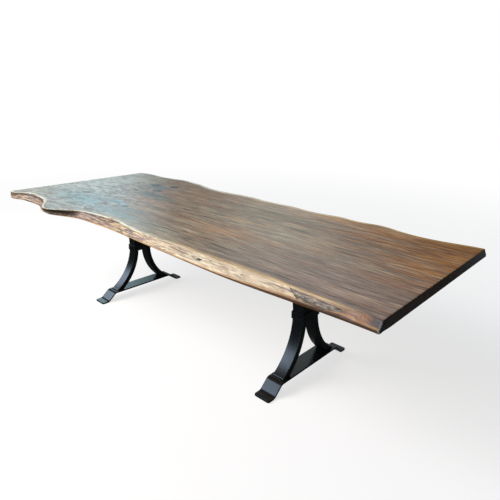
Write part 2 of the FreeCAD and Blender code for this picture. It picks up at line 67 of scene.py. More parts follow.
def add_node(tree, kind, inputs=None, stops=(), **settings):
    """Adds one shader node and gives its outputs.  settings are its own properties, inputs gives a socket a
    number, a colour or another node's output, and stops gives a colour ramp its places and colours."""
    made = tree.nodes.new("ShaderNode" + kind)
    for setting, choice in settings.items():
        setattr(made, setting, choice)
    for number, (place, colour) in enumerate(stops):
        elements = made.color_ramp.elements
        stop = elements[number] if number < len(elements) else elements.new(place)
        stop.position = place
        stop.color = colour
    for socket, source in (inputs or {}).items():
        if isinstance(source, bpy.types.NodeSocket):
            tree.links.new(source, made.inputs[socket])
        else:
            made.inputs[socket].default_value = source
    return made.outputs


def new_material(name):
    """Empty material with its output node, and the tree to fill."""
    material = bpy.data.materials.new(name)
    material.use_nodes = True
    material.node_tree.nodes.clear()
    return material, material.node_tree


def black_powder_coat():
    """Polyester powder baked on blasted steel: a satin black with a soft orange peel about 4 mm across,
    which breaks up reflections, and patches that are slightly glossier where the coat is thicker."""
    peel_width = 0.004
    patch_width = 0.060
    material, tree = new_material("satin_black_powder_coat")
    place = add_node(tree, "TexCoord")["Object"]
    peel = add_node(tree, "TexNoise", {"Vector": place, "Scale": 1 / peel_width, "Detail": 2.0})[0]
    patch = add_node(tree, "TexNoise", {"Vector": place, "Scale": 1 / patch_width, "Detail": 3.0})[0]
    bump = add_node(tree, "Bump", {"Height": peel, "Strength": 0.20, "Distance": 0.0006})[0]
    rough = add_node(tree, "MapRange", {"Value": patch, "To Min": 0.22, "To Max": 0.32})[0]
    tone = add_node(tree, "ValToRGB", {"Fac": patch},
                    stops=((0.35, linear("#070809")), (0.65, linear("#0c0e0f"))))[0]
    shader = add_node(tree, "BsdfPrincipled",
                      {"Base Color": tone, "Roughness": rough, "Normal": bump, "IOR": 1.5})[0]
    add_node(tree, "OutputMaterial", {"Surface": shader})
    return material


def rounded_rectangle(half_across, half_up, radius, steps):
    """Closed outlines of rectangles, one for each entry of the half sizes, as (..., point, 2).

    The corners are quarter circles: centre (half size - radius) plus radius times (cos, sin).
    """
    half_across, half_up, radius = (np.asarray(size, float)[..., None]
                                    for size in (half_across, half_up, radius))
    angle = np.concatenate([np.linspace(quarter, quarter + 1, steps) * math.pi / 2 for quarter in range(4)])
    right = np.repeat([1, -1, -1, 1], steps)
    upper = np.repeat([1, 1, -1, -1], steps)
    across = right * (half_across - radius) + radius * np.cos(angle)
    up = upper * (half_up - radius) + radius * np.sin(angle)
    return np.stack([across, up], -1)


def skin(name, shells, ends="filled"):
    """Mesh over shells, each an array (ring, point, xyz) of closed rings.

    Neighbouring rings are joined by quads.  The end rings are "filled" with a face each, "joined" to each
    other, or "folded", where they already lie flat and their doubles are merged.  A shell whose faces
    point inwards, by the sign of the volume under them, is turned over.
    """
    places, faces, start = [], [], 0
    for rings in shells:
        count, size = rings.shape[:2]
        flat = rings.reshape(-1, 3)
        ring = np.arange(count if ends == "joined" else count - 1)[:, None]
        point = np.arange(size)[None, :]
        near, far, after = ring * size, (ring + 1) % count * size, (point + 1) % size
        quads = np.stack(np.broadcast_arrays(near + point, near + after, far + after, far + point), -1)
        quads = quads.reshape(-1, 4)
        a, b, c, d = (flat[quads[:, k]] - flat.mean(0) for k in range(4))
        volume = (np.cross(a, b) * c + np.cross(a, c) * d).sum()
        turn = -1 if volume < 0 else 1
        faces += (quads[:, ::turn] + start).tolist()
        if ends == "filled":
            faces.append(list(range(start, start + size))[::-turn])
            faces.append(list(range(start + (count - 1) * size, start + count * size))[::turn])
        places.append(flat)
        start += len(flat)
    mesh = bpy.data.meshes.new(name)
    mesh.from_pydata(np.concatenate(places).tolist(), [], faces)
    mesh.polygons.foreach_set("use_smooth", np.ones(len(mesh.polygons), bool))
    mesh.update()
    return mesh


def dress(name, mesh, material):
    """Object at the origin with one finish, riding on the table's one body in place of the node of that name.

    Its shading follows its larger faces, so that flats look flat right up to their eased edges.
    """
    piece = bpy.data.objects.new(name + "_look", mesh)
    bpy.context.scene.collection.objects.link(piece)
    mesh.materials.append(material)
    piece.modifiers.new("even_shading", "WEIGHTED_NORMAL")
    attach(piece, "root")
    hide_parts(name)
    return piece


def foot_bar(low, high):
    """Rings along one foot bar that fills the given box.

    Its middle line, seen along X, is toe, ramp, arch, ramp and toe: runs joined by arcs that touch them at
    radius * tan(turn / 2) from each corner.  A ring is the bar's section square to that line.  At the
    distance d from an end, within the toe's radius r, the half width is less by r - sqrt(r^2 - (r - d)^2),
    and within the ease the half thickness falls off the same way.
    """
    half_length = (high.y - low.y) / 2
    rise = high.z - low.z - BAR_THICKNESS
    crank = BAR_THICKNESS * (math.hypot(RAMP_RUN, rise) - RAMP_RUN) / rise
    foot = np.array([-half_length + PAD_LENGTH + crank / 2, BAR_THICKNESS / 2])
    crest = foot + (RAMP_RUN, rise)
    turn = math.atan2(rise, RAMP_RUN)
    reach = BEND_RADIUS * math.tan(turn / 2)
    swing = np.linspace(0, turn, 9)
    up = foot + np.stack([-reach + BEND_RADIUS * np.sin(swing), BEND_RADIUS * (1 - np.cos(swing))], -1)
    over_start = crest - reach * np.array([math.cos(turn), math.sin(turn)])
    lean = turn - swing
    over = over_start + BEND_RADIUS * np.stack([np.sin(turn) - np.sin(lean), np.cos(lean) - np.cos(turn)], -1)
    from_end = TOE_RADIUS * (1 - np.cos(np.linspace(0, math.pi / 2, 9)))
    toe = np.stack([-half_length + from_end, np.full(9, BAR_THICKNESS / 2)], -1)
    half = np.concatenate([toe, up, over])
    slope = np.concatenate([np.zeros(9), swing, lean])
    line = np.concatenate([half, half[::-1] * (-1, 1)])
    slope = np.concatenate([slope, -slope[::-1]])
    distance = np.minimum(half_length - np.abs(line[:, 0]), TOE_RADIUS)
    half_width = (high.x - low.x) / 2 - TOE_RADIUS + np.sqrt(TOE_RADIUS ** 2 - (TOE_RADIUS - distance) ** 2)
    eased = np.minimum(distance, BAR_EASE)
    half_thickness = BAR_THICKNESS / 2 - BAR_EASE + np.sqrt(BAR_EASE ** 2 - (BAR_EASE - eased) ** 2)
    section = rounded_rectangle(half_width, half_thickness, np.minimum(BAR_EASE, half_thickness), 4)
    x = (low.x + high.x) / 2 + section[..., 0]
    y = (low.y + high.y) / 2 + line[:, :1] - section[..., 1] * np.sin(slope)[:, None]
    z = low.z + line[:, 1:] + section[..., 1] * np.cos(slope)[:, None]
    return np.stack([x, y, z], -1)


coat = black_powder_coat()
for side in ("left", "right"):
    name = side + "_foot_bar"
    dress(name, skin(name, [foot_bar(*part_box(name))]), coat)

# Legs: rectangular tube of 75 by 35 mm, rolled over its flat so that each leg bows in to the waist and out
# again.  It is sawn square to stand on the foot bar and under the top bar, and open inside all the way.
WAIST_HEIGHT = 0.350
WAIST_DEPTH = 0.140            # over both legs
TUBE_WALL = 0.004
TUBE_CORNER = 0.006
LEG_LEVELS = 97


def leg(low, high, middle):
    """Rings up the outside of a front leg and down its inside, for the middle of the base along Y.

    At the height z the outer face is at y = centre + sqrt(r^2 - (z - waist)^2), with one radius r below the
    waist and one above it, each from the flare f and the height h that it spans: r = (f^2 + h^2) / (2 f).
    The inner face has the same centre, and its radius is larger by the tube's depth.
    """
    z = np.linspace(low.z, high.z, LEG_LEVELS)
    waist = middle - WAIST_DEPTH / 2
    flare = waist - low.y
    span = np.where(z < WAIST_HEIGHT, WAIST_HEIGHT - low.z, high.z - WAIST_HEIGHT)
    radius = (flare ** 2 + span ** 2) / (2 * flare)
    depth = high.y - waist

    def wall(inset):
        """Rings of one wall, set in from the tube's faces."""
        front = np.sqrt((radius + inset) ** 2 - (z - WAIST_HEIGHT) ** 2)
        back = np.sqrt((radius + depth - inset) ** 2 - (z - WAIST_HEIGHT) ** 2)
        half_width = np.full_like(z, (high.x - low.x) / 2 - inset)
        outline = rounded_rectangle(half_width, (back - front) / 2, TUBE_CORNER - inset, 5)
        x = (low.x + high.x) / 2 + outline[..., 0]
        y = (waist - radius + (front + back) / 2)[:, None] + outline[..., 1]
        return np.stack([x, y, np.broadcast_to(z[:, None], x.shape)], -1)
    return np.concatenate([wall(0), wall(TUBE_WALL)[::-1]])


for side in ("left", "right"):
    bar_low, bar_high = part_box(side + "_foot_bar")
    middle = (bar_low.y + bar_high.y) / 2
    front = leg(*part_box(side + "_front_leg"), middle)
    rear = front * (1, -1, 1) + (0, 2 * middle, 0)
    for end, rings in (("front", front), ("rear", rear)):
        name = f"{side}_{end}_leg"
        dress(name, skin(name, [rings], "joined"), coat)

# Waist blocks: solid spacers between the two legs, sawn to their inner curves and bored for the clamp bolt.
# They are coated with the rest of the base.
for side in ("left", "right"):
    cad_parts[side + "_waist_block"].material_slots[0].material = coat

# Collars: flat bar of 40 by 5 mm bent into a closed band round both legs at the waist, its ends welded and
# ground flush, and drilled front and back for the clamp bolt.
COLLAR_THICKNESS = 0.005
COLLAR_BEND = 0.002            # inside radius of its corners
COLLAR_EASE = 0.001


def collar(low, high):
    """Closed rings round the band, one for each point of the bar's own section.

    A point that stands o out from the inside face goes round a rectangle larger by o on every side, with
    its corners' radius larger by o as well.
    """
    height = high.z - low.z
    section = rounded_rectangle(COLLAR_THICKNESS / 2, height / 2, COLLAR_EASE, 4)
    out = section[:, 0] - COLLAR_THICKNESS / 2
    ring = rounded_rectangle((high.x - low.x) / 2 + out, (high.y - low.y) / 2 + out,
                             COLLAR_BEND + COLLAR_THICKNESS + out, 7)
    x = (low.x + high.x) / 2 + ring[..., 0]
    y = (low.y + high.y) / 2 + ring[..., 1]
    z = (low.z + high.z) / 2 + section[:, 1:]
    return np.stack([x, y, np.broadcast_to(z, x.shape)], -1)


for side in ("left", "right"):
    name = side + "_collar"
    dress(name, skin(name, [collar(*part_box(name))], "joined"), coat)

# Clamp bolts and nuts: M10 bolts with low round heads and a hexagon socket, one through each collar, both
# legs and the waist block, with a hexagon nut behind.  Black oxide steel.
CLAMP_DIAMETER = 0.010
CLAMP_HEAD = 0.0175
CLAMP_HEAD_HEIGHT = 0.0055
CLAMP_KEY = 0.006
CLAMP_NUT = 0.016
THREAD_PITCH = 0.0015
TURN_POINTS = 48


def turned(centre, axis, profile):
    """Rings of a turned piece about an axis, with hexagons where it has them.

    profile holds (distance along the axis, radius of the circle, size across the flats, or 0 for a round
    ring).  At the angle a the radius is the lesser of the circle's and the hexagon's, which is half the
    size across the flats over cos(a), a taken from the middle of its flat.
    """
    angle = np.linspace(0, 2 * math.pi, TURN_POINTS, endpoint=False)
    along, circle, flats = (np.array(column, float)[:, None] for column in zip(*profile))
    from_flat = (angle + math.pi / 6) % (math.pi / 3) - math.pi / 6
    hexagon = np.where(flats > 0, flats / 2 / np.cos(from_flat), np.inf)
    radius = np.minimum(circle, hexagon)
    axis = np.array(axis, float)
    first = np.cross(axis, (1, 0, 0)) if abs(axis[0]) < 0.5 else np.cross(axis, (0, 1, 0))
    second = np.cross(axis, first)
    rings = radius[..., None] * (np.cos(angle)[:, None] * first + np.sin(angle)[:, None] * second)
    return np.array(centre, float) + rings + along[..., None] * axis


def thread(start, end, radius):
    """Profile of a threaded length: crests and roots half a pitch apart, then a short cone at the tip."""
    count = int((end - start) / THREAD_PITCH * 2)
    root = 0.61 * THREAD_PITCH
    steps = [(start + number * THREAD_PITCH / 2, radius - root * (number % 2), 0) for number in range(count)]
    return steps + [(end, radius - root, 0)]


def marked_metal(name, mark_width, detail, roughness, colours, metallic):
    """Metal whose roughness and colour both run from the first to the second value with its faint marks."""
    material, tree = new_material(name)
    place = add_node(tree, "TexCoord")["Object"]
    marks = add_node(tree, "TexNoise", {"Vector": place, "Scale": 1 / mark_width, "Detail": detail})[0]
    rough = add_node(tree, "MapRange", {"Value": marks, "To Min": roughness[0], "To Max": roughness[1]})[0]
    tone = add_node(tree, "ValToRGB", {"Fac": marks},
                    stops=((0.3, linear(colours[0])), (0.7, linear(colours[1]))))[0]
    shader = add_node(tree, "BsdfPrincipled",
                      {"Base Color": tone, "Roughness": rough, "Metallic": metallic})[0]
    add_node(tree, "OutputMaterial", {"Surface": shader})
    return material


bolts, nuts = [], []
for side in ("left", "right"):
    low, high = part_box(side + "_collar")
    x, z = (low.x + high.x) / 2, WAIST_HEIGHT
    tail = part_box("clamp_bolts")[1].y
    nut_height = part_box("clamp_nuts")[1].y - high.y
    rim = CLAMP_HEAD / 2
    bolts.append(turned((x, low.y, z), (0, -1, 0), [
        (rise * CLAMP_HEAD_HEIGHT, reach * rim, flats) for rise, reach, flats in (
            (0, 1, 0), (0.4, 1, 0), (0.6, 0.96, 0), (0.8, 0.87, 0), (0.95, 0.75, 0), (1, 0.66, 0),
            (1, 0.42, 0), (0.94, 0.42, CLAMP_KEY), (0.45, 0.42, CLAMP_KEY))]))
    bolts.append(turned((x, high.y, z), (0, 1, 0), thread(0, tail - high.y, CLAMP_DIAMETER / 2)))
    bore = CLAMP_DIAMETER / 2
    nuts.append(turned((x, high.y, z), (0, 1, 0), [
        (rise * nut_height, radius, flats) for rise, radius, flats in (
            (0, bore, 0), (0, 0.48 * CLAMP_NUT, 0), (0.12, 0.56 * CLAMP_NUT, CLAMP_NUT),
            (0.2, CLAMP_NUT, CLAMP_NUT), (0.8, CLAMP_NUT, CLAMP_NUT), (0.88, 0.56 * CLAMP_NUT, CLAMP_NUT),
            (1, 0.48 * CLAMP_NUT, 0), (1, 1.1 * bore, 0), (0.9, bore, 0))]))

# Black oxide: steel turned black in a hot salt bath and oiled.  It is a thin dark skin, a little glossier
# than the coat, with the faint turning marks of the metal below.
oxide = marked_metal("black_oxide_steel", 0.0006, 3.0, (0.28, 0.40), ("#1b1c1f", "#2c2d31"), 0.6)
dress("clamp_bolts", skin("clamp_bolts", bolts), oxide)
dress("clamp_nuts", skin("clamp_nuts", nuts, "joined"), oxide)

# Top bars: the same flat bar, straight, welded across the heads of the legs.  It lies against the slab,
# with a round hole in its middle and a slot near each end, and is coated with the rest of the base.
for side in ("left", "right"):
    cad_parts[side + "_top_bar"].material_slots[0].material = coat

# Weld beads: one across each leg where its outer face meets a bar, laid by hand as a row of overlapping
# puddles, and coated with the rest.
BEAD_LEG = 0.008
BEAD_RISE = 0.004
BEAD_CROWN = 0.0012
BEAD_PITCH = 0.0035
BEAD_SINK = 0.001
BEAD_STEPS = 140


def bead(leg_box, middle, upward, bar_face, hand):
    """Rings along X over one bead, from the leg's own curve.

    The section runs from the toe on the bar to the top on the leg, bulged by crown * sin(pi t), with a
    last point sunk in the corner.  Along X the crown swells as the absolute sine of the puddles' pitch,
    each puddle's front bent back in its middle, and the bead shrinks to nothing at both ends.
    """
    low, high = leg_box
    waist = middle - WAIST_DEPTH / 2
    flare = waist - low.y
    span = WAIST_HEIGHT - low.z if upward else high.z - WAIST_HEIGHT
    radius = (flare ** 2 + span ** 2) / (2 * flare)
    sign = 1 if upward else -1
    foot = np.array([low.y - BEAD_LEG, bar_face])
    raised = span - BEAD_RISE
    top = np.array([waist - radius + math.sqrt(radius ** 2 - raised ** 2), bar_face + sign * BEAD_RISE])
    sunk = np.array([low.y + BEAD_LEG, bar_face - sign * BEAD_SINK])
    share = np.linspace(0, 1, 7)
    half_width = (high.x - low.x) / 2 - TUBE_CORNER / 2
    x = np.linspace(-half_width, half_width, BEAD_STEPS)[:, None]
    swell = 1 + 0.5 * np.abs(np.sin(math.pi * (x / BEAD_PITCH + 0.4 * np.sin(math.pi * share))))
    taper = np.sqrt(np.clip(1 - (np.abs(x) / half_width) ** 14, 0, 1))
    outward = np.array([top[1] - foot[1], foot[0] - top[0]])
    outward *= sign / np.hypot(*outward) * np.sign(-outward[0] * sign)
    crown = (BEAD_CROWN * swell * np.sin(math.pi * share) * taper)[..., None] * outward
    section = foot + (top - foot) * share[:, None] + crown
    section = np.concatenate([section, np.broadcast_to(sunk, (len(x), 1, 2))], 1)
    section = sunk + (section - sunk) * (0.4 + 0.6 * taper)[..., None]
    y = section[..., 0] if hand < 0 else 2 * middle - section[..., 0]
    return np.stack([(low.x + high.x) / 2 + np.broadcast_to(x, y.shape), y, section[..., 1]], -1)


foot_beads, head_beads = [], []
for side in ("left", "right"):
    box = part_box(side + "_front_leg")
    low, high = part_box(side + "_foot_bar")
    middle = (low.y + high.y) / 2
    for hand in (-1, 1):
        foot_beads.append(bead(box, middle, True, box[0].z, hand))
        head_beads.append(bead(box, middle, False, box[1].z, hand))
dress("foot_welds", skin("foot_welds", foot_beads), coat)
dress("head_welds", skin("head_welds", head_beads), coat)

# Slab: one through-cut board of black walnut, air dried, planed to 48 mm and sawn square at both ends.  The
# bark is off and the sapwood under it sanded but left in its natural shape, and the whole is oiled.
ARRIS = 0.003                  # eased corner round the top face
BELLY_HEIGHT = 0.013           # the live edge swells most this far above the underside
END_EASE = 0.003               # eased corner of the sawn ends at the two faces, along X
END_INSET = 0.0024             # the same across it
CORNER_EASE = 0.009            # the upright corners at the right end are rounder
CORNER_INSET = 0.0065
BOLT_FIELD = 0.40              # the outlines stand further out than this, and the bolt holes don't
COLUMNS = 530
FACE_POINTS = 46
NEAR_POINTS = 46
FAR_POINTS = 30
END_STEPS = 5
CAP_STEPS = 6

slab_low, slab_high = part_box("slab_top")
thickness = slab_high.z - slab_low.z
half_length = slab_high.x - CORNER_EASE
stations = np.linspace(-half_length, half_length, COLUMNS)
corners = np.empty(len(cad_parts["slab_top"].data.vertices) * 3, np.float32)
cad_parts["slab_top"].data.vertices.foreach_get("co", corners)
corners = corners.reshape(-1, 3).astype(float)


def relief(along, across, length, width, seed):
    """Smooth random heights between -1 and 1 on a lattice of cells of length by width.  Between the
    lattice's points, at the share f of a cell, they are eased by 3 f^2 - 2 f^3."""
    size = 256
    heights = np.random.default_rng(seed).uniform(-1, 1, (size, size))
    u, v = along / length, across / width
    column, row = np.floor(u).astype(int), np.floor(v).astype(int)
    ease_u, ease_v = ((f * f * (3 - 2 * f)) for f in (u - column, v - row))
    low, high = (heights[column % size, level] * (1 - ease_u) + heights[(column + 1) % size, level] * ease_u
                 for level in (row % size, (row + 1) % size))
    return low * (1 - ease_v) + high * ease_v


def outline(height, hand):
    """Y of one live edge at each station, from the frame's corners at that height, smoothed over 15 mm."""
    chosen = (np.abs(corners[:, 2] - height) < 0.0003) & (hand * corners[:, 1] > BOLT_FIELD)
    x, first = np.unique(np.round(corners[chosen, 0], 4), return_index=True)
    y = np.interp(stations, x, corners[chosen, 1][first])
    spread = np.exp(-np.linspace(-2, 2, 7) ** 2)
    return np.convolve(np.pad(y, 3, mode="reflect", reflect_type="odd"), spread / spread.sum(), mode="valid")


def live_edge(hand, points):
    """Section of one live edge at every station, as (station, point, yz), and its outward directions.

    The share down the edge is (1 - cos) / 2, closer at both rims.  Y goes straight from outline to outline
    between the four heights, with the corners between them rounded by averaging each point with its
    neighbours.  The outward direction is square to the section.
    """
    share = (1 - np.cos(np.linspace(0, math.pi, points))) / 2
    heights = np.array([slab_high.z, slab_high.z - ARRIS, slab_low.z + BELLY_HEIGHT, slab_low.z])
    z = slab_high.z - thickness * share
    weights = np.stack([np.interp(-z, -heights, row) for row in np.eye(4)])
    for _ in range(2):
        inner = 0.25 * weights[:, :-2] + 0.5 * weights[:, 1:-1] + 0.25 * weights[:, 2:]
        weights = np.concatenate([weights[:, :1], inner, weights[:, -1:]], 1)
    y = np.stack([outline(height, hand) for height in heights], 1) @ weights
    section = np.stack([y, np.broadcast_to(z, y.shape)], -1)
    slope = np.gradient(section, axis=1)
    outward = np.stack([-hand * slope[..., 1], hand * slope[..., 0]], -1)
    return section, outward / np.linalg.norm(outward, axis=-1, keepdims=True), share


def inside(outline_points, along, down):
    """Distance inside a convex outline, negative outside it: the least of the distances to its sides."""
    turned_by_one = np.roll(outline_points, -1, 0)
    distances = []
    for (x0, y0), (x1, y1) in zip(outline_points, turned_by_one):
        length = math.hypot(x1 - x0, y1 - y0)
        distances.append(((x1 - x0) * (down - y0) - (y1 - y0) * (along - x0)) / length)
    return np.min(distances, 0)


near, near_out, near_share = live_edge(-1, NEAR_POINTS)
far, far_out, far_share = live_edge(1, FAR_POINTS)
along = stations[:, None]
down = thickness * near_share[None, :]
fade = np.sin(math.pi * near_share) ** 0.6

# The hollow under the burl lobe, where the trunk folded in, and the groove under the sap line of the tongue
# at the left end: x and height below the top face of the middle, half sizes that way, and depth.
HOLLOW = (-0.745, 0.021, 0.150, 0.017, 0.016)
GROOVE = (-1.290, 0.009, 0.250, 0.005, 0.004)
# Relief in layers: height, length and width of a cell, and seed.
NEAR_RELIEF = ((0.0028, 0.085, 0.030, 3), (0.0016, 0.034, 0.013, 5), (0.0007, 0.017, 0.0045, 7),
               (0.0004, 0.007, 0.0022, 11))
FAR_RELIEF = ((0.0018, 0.090, 0.030, 17), (0.0016, 0.034, 0.013, 19), (0.0007, 0.017, 0.0045, 23))
# Bark left in a pocket near the right end: its outline as (x, depth below the top face), going clockwise.
BARK = np.array([(1.100, 0.005), (1.330, 0.008), (1.395, 0.015), (1.285, 0.031), (1.160, 0.029)])
BARK_DEPTH = 0.0032

hollow = (np.clip(1 - ((along - HOLLOW[0]) / HOLLOW[2]) ** 4, 0, 1)
          * np.exp(-((down - HOLLOW[1]) / HOLLOW[3]) ** 4))
groove = (np.clip(1 - ((along - GROOVE[0]) / GROOVE[2]) ** 4, 0, 1)
          * np.exp(-((down - GROOVE[1]) / GROOVE[3]) ** 2))
bark = inside(BARK, along, down)
height = sum(high * relief(along, down, *cell, seed) for high, *cell, seed in NEAR_RELIEF)
height = height * fade - (HOLLOW[4] * hollow + GROOVE[4] * groove) * np.clip(fade * 2 - 0.15, 0, 1)
height -= BARK_DEPTH * np.clip(bark / 0.006, 0, 1) * (1 + 0.35 * relief(along, down, 0.012, 0.006, 13))
near = near + near_out * height[..., None]

far_down = thickness * far_share[None, :]
height = sum(high * relief(along, far_down, *cell, seed) for high, *cell, seed in FAR_RELIEF)
far = far + far_out * (height * np.sin(math.pi * far_share) ** 0.6)[..., None]

# Towards the right end the far edge was sawn upright, and the near one swells close under the rim.  The near
# one is upright at the left end.
UPRIGHT = 0.008
SWELL = 0.005
SWELL_START, SWELL_RUN = 1.30, 0.20
TIP_START, TIP_RUN = -1.34, 0.14
TIP_UPRIGHT = 0.85             # share of the way to upright
at_end = np.clip((along - SWELL_START) / SWELL_RUN, 0, 1) ** 2
far[..., 0] += UPRIGHT * at_end * (1 - far_share) ** 2
near[..., 0] -= SWELL * at_end * np.sin(math.pi * near_share) ** 0.7 * (1 - near_share)
at_tip = np.clip((TIP_START - along) / TIP_RUN, 0, 1)
at_tip = at_tip * at_tip * (3 - 2 * at_tip)
near[..., 0] += TIP_UPRIGHT * at_tip * (near[..., 0].min(1, keepdims=True) - near[..., 0])

# One ring at each station: over the top face from far to near, down the near edge, back under, and up the
# far edge.
share = np.linspace(0, 1, FACE_POINTS + 2)[1:-1, None]
top_face = far[:, :1] + (near[:, :1] - far[:, :1]) * share
under_face = near[:, -1:] + (far[:, -1:] - near[:, -1:]) * share
sections = np.concatenate([top_face, near, under_face, far[:, ::-1]], 1)
up = np.broadcast_to((0.0, 1.0), top_face.shape)
outward = np.concatenate([up, near_out, -up, far_out[:, ::-1]], 1)
across = np.concatenate([share[:, 0], np.ones(NEAR_POINTS), 1 - share[:, 0], np.zeros(FAR_POINTS)])


def slab_end(column, hand):
    """Rings that ease one sawn end and then close it.

    The ease is a quarter ellipse: X ends with ease * sin(a) while the ring shrinks by inset * (1 - cos(a))
    along its own inward direction.  At the right end both are larger on the live edges, by the root of
    sin(pi share) down them, and round the near lower corner.  The end grain's rings then shrink on to one
    line at half the thickness.
    """
    angle = np.linspace(0, math.pi / 2, END_STEPS + 1)[1:, None, None]
    flat = np.zeros(FACE_POINTS)
    lower = np.clip(1 - np.arange(FACE_POINTS) / 1.5, 0, 1)
    near_round = np.where(near_share < 0.5, np.sin(math.pi * near_share), 1)
    round_share = np.concatenate([flat, near_round, lower, np.sin(math.pi * far_share)])
    round_share = np.sqrt(np.clip(round_share, 0, 1)) * (hand > 0)
    ease = END_EASE + (CORNER_EASE - END_EASE) * round_share
    inset = END_INSET + (CORNER_INSET - END_INSET) * round_share
    eased = sections[column] - outward[column] * inset[:, None] * (1 - np.cos(angle))
    eased_x = hand * (slab_high.x - ease + ease * np.sin(angle[..., 0]))
    rim = eased[-1]
    middle = (slab_low.z + slab_high.z) / 2
    ends = far[column, FAR_POINTS // 2, 0] - thickness / 2, near[column, NEAR_POINTS // 2, 0] + thickness / 2
    line = np.stack([ends[0] + (ends[1] - ends[0]) * across, np.full(len(across), middle)], -1)
    shrink = np.linspace(0, 1, CAP_STEPS + 1)[1:, None, None]
    cap = rim + (line - rim) * shrink
    x = np.concatenate([np.broadcast_to(eased_x, eased.shape[:2]),
                        np.full(cap.shape[:2], hand * slab_high.x)])
    return np.concatenate([x[..., None], np.concatenate([eased, cap])], -1)


body = np.concatenate([np.broadcast_to(stations[:, None, None], sections.shape[:2] + (1,)), sections], -1)
rings = np.concatenate([slab_end(0, -1)[::-1], body, slab_end(-1, 1)])


def per_ring(values, outer):
    """The same values for the rings of the ends as for the last columns, over the whole section."""
    extra = END_STEPS + CAP_STEPS
    whole = np.full(rings.shape[:2], float(outer))
    whole[extra:-extra, FACE_POINTS:FACE_POINTS + NEAR_POINTS] = values
    for count in range(extra):
        whole[count] = whole[extra]
        whole[-1 - count] = whole[-1 - extra]
    return whole


# How far each point lies in from the live edge at its own height: 0 on the edges themselves.
column = np.clip(np.arange(len(rings)) - END_STEPS - CAP_STEPS, 0, COLUMNS - 1)
near_y = np.stack([np.interp(-rings[n, :, 2], -near[c, :, 1], near[c, :, 0]) for n, c in enumerate(column)])
far_y = np.stack([np.interp(-rings[n, :, 2], -far[c, :, 1], far[c, :, 0]) for n, c in enumerate(column)])
rim = np.minimum(rings[..., 1] - near_y, far_y - rings[..., 1])
on_near_edge = slice(FACE_POINTS, FACE_POINTS + NEAR_POINTS)
rim[:, on_near_edge] *= np.abs(rings[:, on_near_edge, 0]) > half_length
# Width of the sapwood on the top face, near edge and far edge, at chosen places along X.
SAP_X = (-1.525, -1.10, -0.90, -0.60, -0.10, 0.45, 0.80, 1.10, 1.30, 1.42, 1.525)
NEAR_SAP = (0.014, 0.022, 0.012, 0.009, 0.011, 0.022, 0.024, 0.010, 0.007, 0.005, 0.003)
FAR_SAP = (0.014, 0.018, 0.028, 0.030, 0.030, 0.028, 0.026, 0.022, 0.024, 0.026, 0.024)
sap_width = np.where(rings[..., 1] < 0, np.interp(rings[..., 0], SAP_X, NEAR_SAP),
                     np.interp(rings[..., 0], SAP_X, FAR_SAP))

# The grain follows the trunk: its lines run partly along X and partly beside the two edges, smoothed over
# GRAIN_SPREAD.  A point keeps its own share of the way from one edge to the other.
GRAIN_SPREAD = 0.35
GRAIN_WIDTH = 1.10
GRAIN_FOLLOWS = 0.55
reach = int(2.5 * GRAIN_SPREAD / (stations[1] - stations[0]))
spread = np.exp(-0.5 * (np.linspace(-2.5, 2.5, 2 * reach + 1)) ** 2)
near_line, far_line = (
    np.convolve(np.pad(edge[:, 0, 0], reach, mode="edge"), spread / spread.sum(), mode="valid")
    for edge in (near, far))
between_lines = (rings[..., 1] - far_line[column, None]) / (near_line - far_line)[column, None]
grain_y = (1 - GRAIN_FOLLOWS) * rings[..., 1] + GRAIN_FOLLOWS * GRAIN_WIDTH * (0.5 - between_lines)

slab_mesh = skin("slab_top", [rings], "folded")
for name, values in (("grain_y", grain_y), ("sap_share", rim / sap_width), ("bark_depth", per_ring(bark, -1)),
                     ("hollow_share", per_ring(hollow, 0)), ("groove_share", per_ring(groove, 0))):
    layer = slab_mesh.attributes.new(name, "FLOAT", "POINT")
    layer.data.foreach_set("value", values.astype(np.float32).ravel())


class Field:
    """Number or colour that varies over a surface: one node's output.  Arithmetic on it adds the nodes."""

    def __init__(self, output):
        self.output = output

    def reckon(self, operation, *others):
        """One arithmetic step, with this number first."""
        return add_field(self.output.id_data, "Math", dict(enumerate((self, *others))), operation=operation)

    def smooth(self, start, end, low=0.0, high=1.0):
        """low before start, high after end, smooth between."""
        ends = {"Value": self, "From Min": start, "From Max": end, "To Min": low, "To Max": high}
        return add_field(self.output.id_data, "MapRange", ends, interpolation_type="SMOOTHSTEP")

    def __add__(self, other):
        return self.reckon("ADD", other)

    def __sub__(self, other):
        return self.reckon("SUBTRACT", other)

    def __rsub__(self, other):
        return self.reckon("MULTIPLY_ADD", -1.0, other)

    def __mul__(self, other):
        return self.reckon("MULTIPLY", other)

    def __truediv__(self, other):
        return self.reckon("DIVIDE", other)


def add_field(tree, kind, inputs=None, output=0, **settings):
    """Adds a node whose inputs may be fields, and gives one of its outputs as a field."""
    inputs = {socket: getattr(source, "output", source) for socket, source in (inputs or {}).items()}
    return Field(add_node(tree, kind, inputs, **settings)[output])


